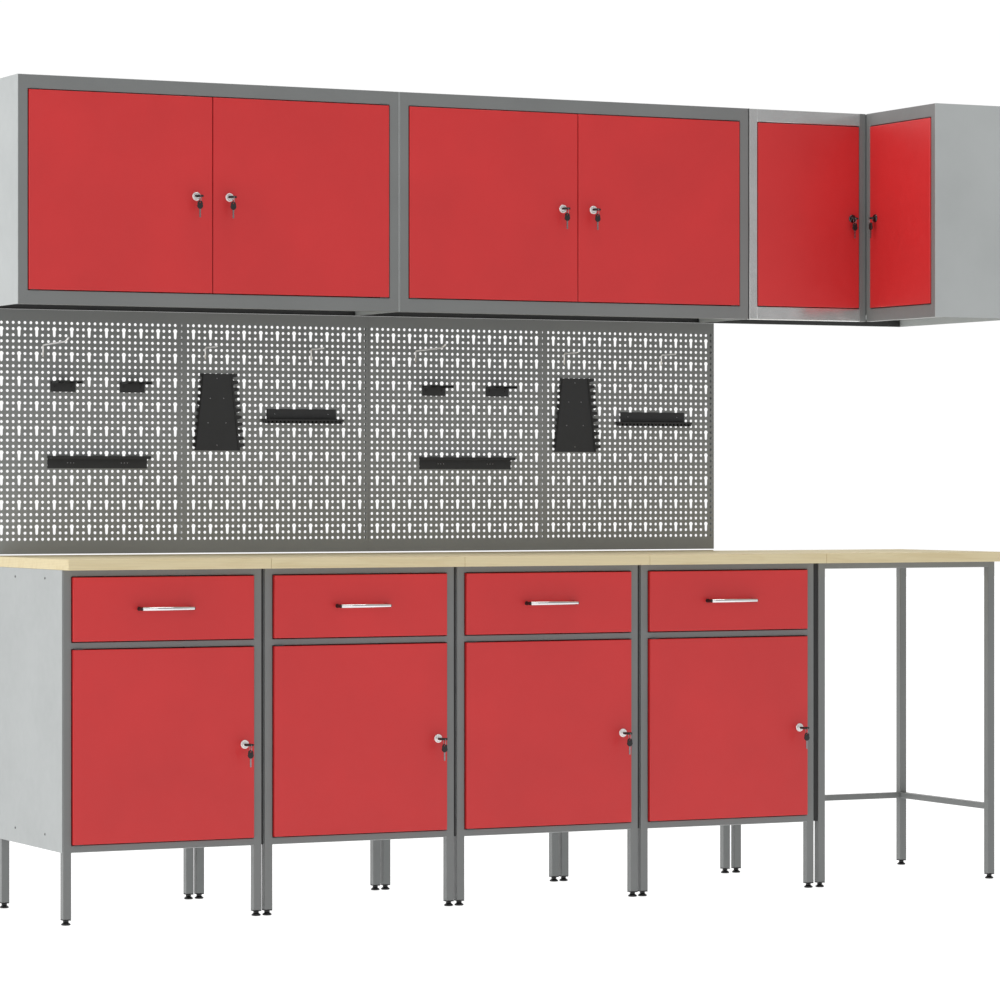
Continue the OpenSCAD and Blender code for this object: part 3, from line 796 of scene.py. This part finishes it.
def hook_holders():
    """Short holders: a back plate and a forked ledge with ribs under it."""
    bm = bmesh.new()
    parts = solids("hook_holders")
    plates = [p for p in parts if p[1][2] - p[0][2] > 0.01]
    ledges = [p for p in parts if p[1][2] - p[0][2] <= 0.01]
    spots = []
    for low, high in plates:
        add_box(bm, low, high, 0.8 * MM)
        middle = (low[2] + high[2]) / 2
        spots += [(x, low[1], middle) for x in (low[0] + 11 * MM, high[0] - 11 * MM)]
    for low, high in ledges:
        prong = 19 * MM
        back = high[1] - 12 * MM
        add_box(bm, (low[0], back, low[2]), high, 0.6 * MM)
        for x0, x1 in ((low[0], low[0] + prong), (high[0] - prong, high[0])):
            add_box(bm, (x0, low[1], low[2]), (x1, back + MM, high[2]), 0.6 * MM)
        mid = (low[0] + high[0]) / 2
        tongue = 9 * MM
        start = (mid - tongue, low[1] + 16 * MM, low[2])
        add_box(bm, start, (mid + tongue, back + MM, high[2]), 0.6 * MM)
        rib = 2 * MM
        for x in (low[0], low[0] + prong - rib, high[0] - prong, high[0] - rib):
            add_box(bm, (x, low[1], low[2] - 4 * MM), (x + rib, back + MM, low[2] + MM), 0.6 * MM)
    piece("holder_plates", bm, BLACK_COAT, ROOT, "hook_holders")
    dot_heads("holder_rivets", spots, 2.0 * MM, BLACK)


def tool_bars():
    """Long bars as in CAD, with folded lips under the ledge and rivets in the plate."""
    dress("tool_bars", BLACK_COAT)
    spots = []
    lips = bmesh.new()
    thick = 1.5 * MM
    for low, high in solids("tool_bars"):
        if high[2] - low[2] <= 0.01:
            foot, top = low[2] - 5 * MM, low[2] - 0.1 * MM
            add_box(lips, (low[0], low[1], foot), (high[0], low[1] + thick, top), 0.5 * MM)
            for x in (low[0], high[0] - thick):
                start = (x, low[1] + thick + 0.1 * MM, foot)
                add_box(lips, start, (x + thick, high[1], top), 0.5 * MM)
        else:
            wide = high[0] - low[0]
            for share in (0.20, 0.23, 0.26, 0.74, 0.77, 0.80):
                spots.append((low[0] + share * wide, low[1], low[2] + 0.45 * (high[2] - low[2])))
    piece("tool_bar_lips", lips, BLACK_COAT, ROOT)
    dot_heads("bar_rivets", spots, 1.5 * MM, RIVET_STEEL)


def drill_racks():
    """Racks with a back plate and a toothed ledge."""
    bm = bmesh.new()
    spots = []
    teeth = 20
    for low, high in solids("drill_racks"):
        if high[1] - low[1] < 0.01:
            add_box(bm, low, high, 0.8 * MM)
            middle = (low[2] + high[2]) / 2
            spots += [(x, low[1], middle) for x in (low[0] + 22 * MM, high[0] - 22 * MM)]
            continue
        pitch = (high[0] - low[0]) / teeth
        bar = high[2] - 5 * MM
        add_box(bm, (low[0], low[1], bar), high, 0.8 * MM)
        for k in range(teeth):
            x = low[0] + (k + 0.5) * pitch
            half = 0.27 * pitch
            add_box(bm, (x - half, low[1] + MM, low[2]), (x + half, high[1] - MM, bar + MM), 0.8 * MM, 1)
    piece("drill_rack_bodies", bm, BLACK_COAT, ROOT, "drill_racks")
    dot_heads("drill_rack_rivets", spots, 1.5 * MM, RIVET_STEEL)


RACK_TOP, RACK_FOOT = 37 * MM, 57.5 * MM    # half widths of a spanner rack's plate
RACK_FLARE, RACK_REACH = 13 * MM, 11 * MM   # how far a wing spreads and comes forward


def add_wing(bm, low, high, side):
    """One sloping toothed wing of a spanner rack, on the left (-1) or right (1) edge of its plate."""
    mid = (low[0] + high[0]) / 2
    tall = high[2] - low[2]

    def at(rise, out):
        half = RACK_FOOT + (RACK_TOP - RACK_FOOT) * rise + RACK_FLARE * out
        return Vector((mid + side * half, low[1] - RACK_REACH * out, low[2] + tall * rise))

    teeth, valley = 11, 0.25
    outer = []
    for k in range(teeth):
        start, end = k / teeth, (k + 1) / teeth
        outer += [(start + 0.06 / teeth, valley), (start + 0.45 / teeth, valley)]
        outer += [(start + 0.62 / teeth, 1.0), (end, 1.0)]
    loop = [(0.0, 0.0), (0.0, 1.0), *outer, (1.0, 0.0)]
    skin = Vector((side * 1.0 * MM, 1.2 * MM, 0))
    a = [bm.verts.new(at(rise, out)) for rise, out in loop]
    b = [bm.verts.new(at(rise, out) - skin) for rise, out in loop]
    add_caps(bm, b, a)
    add_band(bm, b, a)


def plier_racks():
    """Spanner racks: a tapered plate with rivets between two toothed wings."""
    bm, wings = bmesh.new(), bmesh.new()
    spots = []
    plates = [p for p in solids("plier_racks") if p[1][0] - p[0][0] > 0.1]
    for low, high in plates:
        mid = (low[0] + high[0]) / 2
        tall = high[2] - low[2]
        foot = [(mid - RACK_FOOT, low[2]), (mid + RACK_FOOT, low[2])]
        top = [(mid + RACK_TOP, high[2]), (mid - RACK_TOP, high[2])]
        add_prism(bm, foot + top, low[1], high[1])
        for side in (-1, 1):
            add_wing(wings, low, high, side)
        for rise, spread in ((0.94, 0), (0.68, 18), (0.36, 24), (0.07, 0)):
            for x in sorted({-spread, spread}):
                spots.append((mid + x * MM, low[1], low[2] + tall * rise))
    piece("spanner_rack_plates", bm, BLACK_COAT, ROOT, "plier_racks")
    # the wings take the darker copy of the black coat, as painted shade
    piece("spanner_rack_wings", wings, WING_SHADE_BLACK, ROOT)
    dot_heads("spanner_rack_rivets", spots, 1.6 * MM, RIVET_STEEL)


def wire_hooks():
    """Bent wire hooks that rise towards the tip."""
    bm = bmesh.new()
    wire = 1.95 * MM
    for low, high in solids("wire_hooks"):
        x = (low[0] + high[0]) / 2
        back = high[1] - 2 * MM
        foot = low[2] + 0.3 * MM
        root = low[2] + 29 * MM
        tip = (x, low[1] + 2 * MM, high[2] - 8 * MM)
        knee = (x, low[1] + 0.14 * (back - low[1]), root + 0.30 * (tip[2] - root))
        path = [(x, back, foot), (x, back, root), knee, tip]
        add_wire(bm, bend(path, 5 * MM), wire, 12)
    piece("hook_wires", bm, NICKEL, ROOT, "wire_hooks")


# ---- Doors, drawers and locks

TURN = {"-Y": Matrix.Identity(4), "-X": Matrix.Rotation(-math.pi / 2, 4, "Z")}


def ring_points(w, h, inset, depth, cuts):
    """Twelve points round a rectangle, anticlockwise seen from the front."""
    (a, b), (c, d) = cuts
    x0, x1, z0, z1 = inset, w - inset, inset, h - inset
    plan = [(x0, z0), (a, z0), (b, z0), (x1, z0), (x1, c), (x1, d)]
    plan += [(x1, z1), (b, z1), (a, z1), (x0, z1), (x0, d), (x0, c)]
    return [Vector((x, depth, z)) for x, z in plan]


def tray(name, low, high, facing, finish, body, node, lock=None):
    """Folded sheet-steel front: rounded bends, side returns and inward lips, bored for a lock."""
    move = Matrix.Translation(low if facing == "-Y" else (low[0], high[1], low[2])) @ TURN[facing]
    w = high[0] - low[0] if facing == "-Y" else high[1] - low[1]
    t = high[1] - low[1] if facing == "-Y" else high[0] - low[0]
    h = high[2] - low[2]
    u, v = (w / 2, h / 2) if lock is None else lock
    cell = 12 * MM
    cuts = ((u - cell, u + cell), (v - cell, v + cell))
    r = DOOR_RADIUS
    arcs = [math.radians(a) for a in (0, 22.5, 45, 67.5, 90)]
    steps = [(r - r * math.sin(a), r - r * math.cos(a)) for a in arcs]
    steps += [(0.0, t - r), (0.3 * r, t - 0.3 * r), (r, t), (9 * MM, t)]
    bm = bmesh.new()
    rings = [[bm.verts.new(p) for p in ring_points(w, h, inset, depth, cuts)] for inset, depth in steps]
    for k, (front, rear) in enumerate(zip(rings, rings[1:])):
        for i in range(12):
            j = (i + 1) % 12
            bm.faces.new((front[i], rear[i], rear[j], front[j])).smooth = k not in (4, 7)
    edge = rings[0]
    core = [[bm.verts.new((x, 0.0, z)) for x in cuts[0]] for z in cuts[1]]
    grid = [edge[:4], [edge[11], *core[0], edge[4]], [edge[10], *core[1], edge[5]], edge[9:5:-1]]
    for row in range(3):
        below, above = grid[row], grid[row + 1]
        for k in range(3):
            patch = (below[k], below[k + 1], above[k + 1], above[k])
            if lock is not None and row == k == 1:
                bore_hole(bm, patch, u, v)
            else:
                bm.faces.new(patch)
    piece(name, bm, finish, body, node, move=move, thick=SHEET)


def bore_hole(bm, patch, u, v):
    """Square patch with a round bore for the lock barrel."""
    per_side = 6
    count = 4 * per_side
    bore = 8.1 * MM
    circle = []
    for k in range(count):
        a = math.radians(-135 + 360 * k / count)
        circle.append(bm.verts.new((u + bore * math.cos(a), 0.0, v + bore * math.sin(a))))
    for side in range(4):
        start, end = patch[side], patch[(side + 1) % 4]
        arc = [circle[(side * per_side + k) % count] for k in range(per_side + 1)]
        bm.faces.new([start, end, *reversed(arc)])


def lock_places(door):
    """A door's leaf, the way it faces, and the lock's place on its front, from the barrel's box."""
    parts = sorted(solids(door), key=lambda p: -(p[1] - p[0]).length)
    leaf, barrel = parts[0], parts[1]
    size = leaf[1] - leaf[0]
    facing = "-X" if size[0] < size[1] else "-Y"
    axis = 1 if facing == "-Y" else 0
    centre = (barrel[0] + barrel[1]) / 2
    centre[axis] = leaf[0][axis]
    return leaf, facing, axis, centre


def barrel(name, at, facing, body, depth, finish):
    """Fixed lock housing: bevelled rose on the face, barrel and nut behind."""
    move = Matrix.Translation(at) @ TURN[facing]
    inner = PLUG_R + 0.1 * MM
    rose = [(0.0, 10.5), (-1.4, 10.5), (-2.5, 9.7), (-3.0, 8.8), (-3.0, 7.4), (-2.5, 6.9)]
    rose.append((-2.5, inner / MM))
    bm = bmesh.new()
    body_r = 7.9 * MM
    loop = in_mm(rose) + [(depth, inner), (depth, body_r), (0.0, body_r)]
    add_lathe(bm, (0, 0, 0), (0, 1, 0), loop, 36, loop=True)
    nut = [(2.0, 8.0), (2.0, 9.6), (2.4, 10.4), (5.4, 10.4), (5.8, 9.6), (5.8, 8.0)]
    add_lathe(bm, (0, 0, 0), (0, 1, 0), in_mm(nut), 6, smooth=False, loop=True)
    piece(name, bm, finish, body, move=move)


def bow_outline(width, length, count=28):
    """Oval key grip from y = 0, where it meets the blade, to -length."""
    points = []
    for k in range(count):
        a = 2 * math.pi * k / count
        x = width / 2 * math.sin(a)
        y = -length / 2 - length / 2 * math.cos(a)
        squash = 1.0 if y < -length / 2 else 0.82 + 0.18 * abs(math.cos(a))
        points.append((math.copysign(abs(x) ** 0.9 * (width / 2) ** 0.1, x) * squash, y))
    return points


def key_grip(bm, width, length, thick, turn, hole_r, hole_at):
    """Moulded grip with a rounded rim and a ring hole; turn maps (x, y, z) into place."""
    outer = bow_outline(width, length)
    loops = []
    for grow, height in ((-0.10, 1.0), (0.0, 0.62), (0.0, -0.62), (-0.10, -1.0)):
        shrink = 1 + grow
        ring = []
        for x, y in outer:
            yy = -length / 2 + (y + length / 2) * shrink
            ring.append(bm.verts.new(turn(x * shrink, yy, height * thick / 2)))
        loops.append(ring)
    holes = []
    for height in (1.0, -1.0):
        ring = []
        for x, y in outer:
            a = math.atan2(y - hole_at, x)
            u, v = hole_r * math.cos(a), hole_at + hole_r * math.sin(a)
            ring.append(bm.verts.new(turn(u, v, height * thick / 2)))
        holes.append(ring)
    skins = [*loops, holes[1], holes[0], loops[0]]
    for a, b in zip(skins, skins[1:]):
        add_band(bm, a, b, a is not loops[3] and b is not loops[0])


def key_blade(bm, width, length, thick, turn, start):
    """Flat blade with teeth cut in one edge."""
    half = width / 2
    cuts = [0.0, 0.9, 0.35, 1.1, 0.5, 0.2, 1.0, 0.0]
    step = length / len(cuts)
    edge = [(half - cut * MM * 0.9, start + step * (k + 0.5)) for k, cut in enumerate(cuts)]
    end = start + length
    outline = [(-half, start), (half, start), *edge, (0.2 * half, end), (-half, end - MM)]
    a = [bm.verts.new(turn(x, y, thick / 2)) for x, y in outline]
    b = [bm.verts.new(turn(x, y, -thick / 2)) for x, y in outline]
    add_caps(bm, b, a)
    add_band(bm, b, a)


def lock_core(name, at, facing, body, node, rear, tip, finish):
    """Turning part: the plug, the key in it and the cam behind."""
    move = Matrix.Translation(at) @ TURN[facing]
    front = -FLANGE
    steel = bmesh.new()
    plug_r = PLUG_R - 0.1 * MM
    plug = [(front - 0.3 * MM, 3.0 * MM), (front - 0.2 * MM, 5.2 * MM)]
    plug += [(front + 0.5 * MM, plug_r), (rear, plug_r)]
    add_lathe(steel, (0, 0, 0), (0, 1, 0), plug, 32)
    reach = front - tip

    def straight(x, y, z):
        return Vector((x, y, z))

    def from_tip(x, y, z):
        return Vector((x, tip + length + y, z))

    key_blade(steel, 7.4 * MM, 0.5 * reach, 1.9 * MM, straight, front - 0.5 * reach)
    cam = []
    cam_r, arc_steps = 4 * MM, 12
    for start, centre_z in ((0.0, 2 * MM), (math.pi, -32 * MM)):
        for k in range(arc_steps + 1):
            a = start + math.pi * k / arc_steps
            cam.append((cam_r * math.cos(a), centre_z + cam_r * math.sin(a)))
    add_prism(steel, cam, rear + 0.2 * MM, rear + 0.2 * MM + CAM_THICK)
    piece(name + "_steel", steel, finish, body, node, move=move)
    grip = bmesh.new()
    length = min(0.85 * reach, 30 * MM)
    key_grip(grip, 22 * MM, length, 5 * MM, from_tip, 2.6 * MM, -length + RING_HOLE)
    piece(name + "_grip", grip, BLACK, body, move=move)


def spare_key(name, at, facing, body, tip):
    """Second key hanging from a split ring through the first key's grip."""
    move = Matrix.Translation(at) @ TURN[facing]
    hole = tip + RING_HOLE
    half_wide, half_tall, wire = 6.0 * MM, 8.2 * MM, 0.5 * MM
    centre = Vector((0, hole - 2.6 * MM, -6.1 * MM))
    ring = bmesh.new()
    steps = 60
    points = []
    for k in range(steps + 1):
        a = 4 * math.pi * k / steps
        side = (k / steps - 0.5) * 2.4 * wire
        around = Vector((side, half_wide * math.cos(a), half_tall * math.sin(a)))
        points.append(centre + around)
    add_wire(ring, points, wire, 8)
    piece(name + "_ring", ring, KEY_STEEL, body, move=move)
    hang = centre - Vector((0, 0, half_tall + 1.2 * MM))
    length = 20 * MM

    def down(x, y, z):
        return Vector((hang[0] + x, hang[1] + z, hang[2] + 4 * MM - length - y))

    def up(x, y, z):
        return down(x, -length - y, z)

    grip = bmesh.new()
    key_grip(grip, 15.5 * MM, length, 4 * MM, up, 2.0 * MM, -4 * MM)
    piece(name + "_grip", grip, BLACK, body, move=move)
    blade = bmesh.new()
    key_blade(blade, 4.2 * MM, 22 * MM, 1.6 * MM, down, -1.5 * MM)
    piece(name + "_blade", blade, KEY_STEEL, body, move=move)


def doors():
    """Every door with its lock housing, the lock's turning part and the spare key."""
    for door in DOORS:
        lock = door.replace("door", "lock")
        leaf, facing, axis, at = lock_places(door)
        lows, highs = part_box(lock)
        tip = lows[axis] - at[axis] + KEY_TUCK
        rear = highs[axis] - at[axis] - CAM_THICK - 0.2 * MM
        local = (at[0] - leaf[0][0], at[2] - leaf[0][2])
        if facing == "-X":
            local = (leaf[1][1] - at[1], at[2] - leaf[0][2])
        tray(door + "_tray", leaf[0], leaf[1], facing, RED, door, door, lock=local)
        depth = leaf[1][axis] - at[axis]
        finish = DARK_CHROME if door.startswith("corner") else NICKEL
        barrel(door + "_lock_housing", at, facing, door, depth, finish)
        lock_core(lock + "_core", at, facing, lock, lock, rear, tip, finish)
        spare_key(door + "_spare_key", at, facing, door, tip)


def handle(i, face):
    """Bow handle: bright bar between two dark bent ends."""
    body, node = f"drawer_{i}", f"drawer_handle_{i}"
    low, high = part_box(node)
    mid = (low[0] + high[0]) / 2
    z = (low[2] + high[2]) / 2
    bar_y = low[1] + 5 * MM
    post = 64 * MM
    sleeve = 64.5 * MM
    bright, dark = bmesh.new(), bmesh.new()
    cap = [(-sleeve, 4.3), (-sleeve + 0.6 * MM, 4.9), (sleeve - 0.6 * MM, 4.9), (sleeve, 4.3)]
    add_lathe(bright, (mid, bar_y, z), (1, 0, 0), [(a, r * MM) for a, r in cap], 28)
    for side in (-1, 1):
        root = (mid + side * post, face, z)
        path = [root, (root[0], bar_y, z), (mid + side * (sleeve - 4 * MM), bar_y, z)]
        add_wire(dark, bend(path, 5 * MM, 6), 4.2 * MM, 20)
        foot = [(0, 4.9), (1.2, 4.9), (1.8, 4.4)]
        add_lathe(dark, root, (0, -1, 0), in_mm(foot), 24)
    piece(node + "_bar", bright, CHROME, body, node)
    piece(node + "_ends", dark, BLACK, body)


def drawers():
    """Four drawers: folded front, bow handle and box."""
    for i in range(1, CABS + 1):
        body = f"drawer_{i}"
        front = f"drawer_front_{i}"
        low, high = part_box(front)
        tray(front + "_tray", low, high, "-Y", RED, body, front)
        handle(i, low[1])
        drawer_box(i, body)


def drawer_box(i, body):
    """Sheet-steel tray with folded rims, and the moving slides on its sides."""
    node = f"drawer_box_{i}"
    parts = sorted(solids(node), key=lambda p: -(p[1] - p[0]).length)
    low, high = parts[0]
    bm = bmesh.new()
    rim = 5 * MM
    add_box(bm, low, (high[0], high[1], low[2] + SHEET), 0.4 * MM, 1)
    for x0, x1, inner in ((low[0], low[0] + SHEET, 1), (high[0] - SHEET, high[0], -1)):
        add_box(bm, (x0, low[1], low[2]), (x1, high[1], high[2]), 0.5 * MM)
        y0, y1 = low[1] + SHEET, high[1] - SHEET
        lip = (x1, x1 + rim) if inner > 0 else (x0 - rim, x0)
        add_box(bm, (lip[0], y0, high[2] - SHEET), (lip[1], y1, high[2]), 0.4 * MM, 1)
        drop = (lip[1] - SHEET, lip[1]) if inner > 0 else (lip[0], lip[0] + SHEET)
        add_box(bm, (drop[0], y0, high[2] - rim), (drop[1], y1, high[2]), 0.4 * MM, 1)
    for y0, y1 in ((low[1], low[1] + SHEET), (high[1] - SHEET, high[1])):
        foot = (low[0] + SHEET, y0, low[2] + SHEET)
        add_box(bm, foot, (high[0] - SHEET, y1, high[2] - 2 * MM), 0.5 * MM)
    piece(node + "_body", bm, CASE_GREY, body, node)
    slides = bmesh.new()
    for a, b in parts[1:]:
        add_box(slides, a, b, 0.7 * MM)
    piece(node + "_slides", slides, ZINC, body)


# ---- Studio

def studio_floor():
    """Plain pale floor that glows a little, like a lit cyclorama."""
    half, base = 30.0, cad_bounds[0][2]
    bm = bmesh.new()
    spots = ((-half, -half), (half, -half), (half, half), (-half, half))
    bm.faces.new([bm.verts.new((x, y, base)) for x, y in spots])
    mesh = bpy.data.meshes.new("studio_floor")
    bm.to_mesh(mesh)
    bm.free()
    floor = bpy.data.objects.new("studio_floor", mesh)
    bpy.context.scene.collection.objects.link(floor)
    paper = Nodes("studio_paper")
    dark, pale = (0.24, 0.24, 0.24), (0.26, 0.26, 0.26)
    fleck = paper.noise(paper.place((1, 1, 1)), 3.0)
    paper.colour(paper.ramp(fleck, [(0.3, dark), (0.7, pale)]))
    paper.constant(Roughness=0.9, Emission_Color=(1, 1, 1, 1), Emission_Strength=0.92)
    mesh.materials.append(paper.mat)


def studio_sky():
    """White surroundings, dimmer in front of the set than behind it."""
    sky = Nodes("studio_sky", "worlds")
    background = sky.tree.nodes["Background"]
    background.inputs["Color"].default_value = (1, 1, 1, 1)
    split = sky.add("ShaderNodeSeparateXYZ")
    sky.link(sky.add("ShaderNodeTexCoord").outputs["Generated"], split.inputs["Vector"])
    strength = sky.span(split.outputs["Y"], 0.40, 1.02, -0.35, 0.25)
    sky.link(strength, background.inputs["Strength"])
    bpy.context.scene.world = sky.mat


def studio_lamps():
    """Soft lamps from the left, from the front and from above, all aimed at the middle of the set."""
    centre = Vector((0.0, 0.0, 1.0))
    for name, at, size, watts in (
        ("key", (-7.0, -0.5, 3.0), 3.5, 98),
        ("fill", (-2.5, -7.0, 4.0), 3.5, 36),
        ("top", (0.0, -0.2, 5.5), 3.0, 75),
    ):
        lamp = bpy.data.lights.new(name, "AREA")
        lamp.energy = watts
        lamp.size = size
        light = bpy.data.objects.new(name, lamp)
        light.location = at
        light.rotation_euler = (centre - Vector(at)).to_track_quat("-Z", "Y").to_euler()
        light.visible_camera = False
        bpy.context.scene.collection.objects.link(light)


def studio_camera():
    lens = bpy.data.cameras.new("camera")
    lens.sensor_width = 36
    lens.lens = CAMERA_LENS
    lens.shift_x, lens.shift_y = CAMERA_SHIFT
    lens.clip_end = 100
    camera = bpy.data.objects.new("camera", lens)
    camera.location = CAMERA_AT
    camera.rotation_euler = CAMERA_TURN
    bpy.context.scene.collection.objects.link(camera)
    bpy.context.scene.camera = camera
    bpy.context.scene.view_settings.view_transform = "Standard"


frames()
cases()
worktops()
feet()
rivets()
runners()
for board in PEGBOARDS:
    pegboard(board)
hook_holders()
tool_bars()
drill_racks()
plier_racks()
wire_hooks()
dress("hinge_plates", HINGE_GREY)
gap_shade_strips()
recess_shade_strips()
doors()
drawers()
studio_floor()
studio_sky()
studio_lamps()
studio_camera()
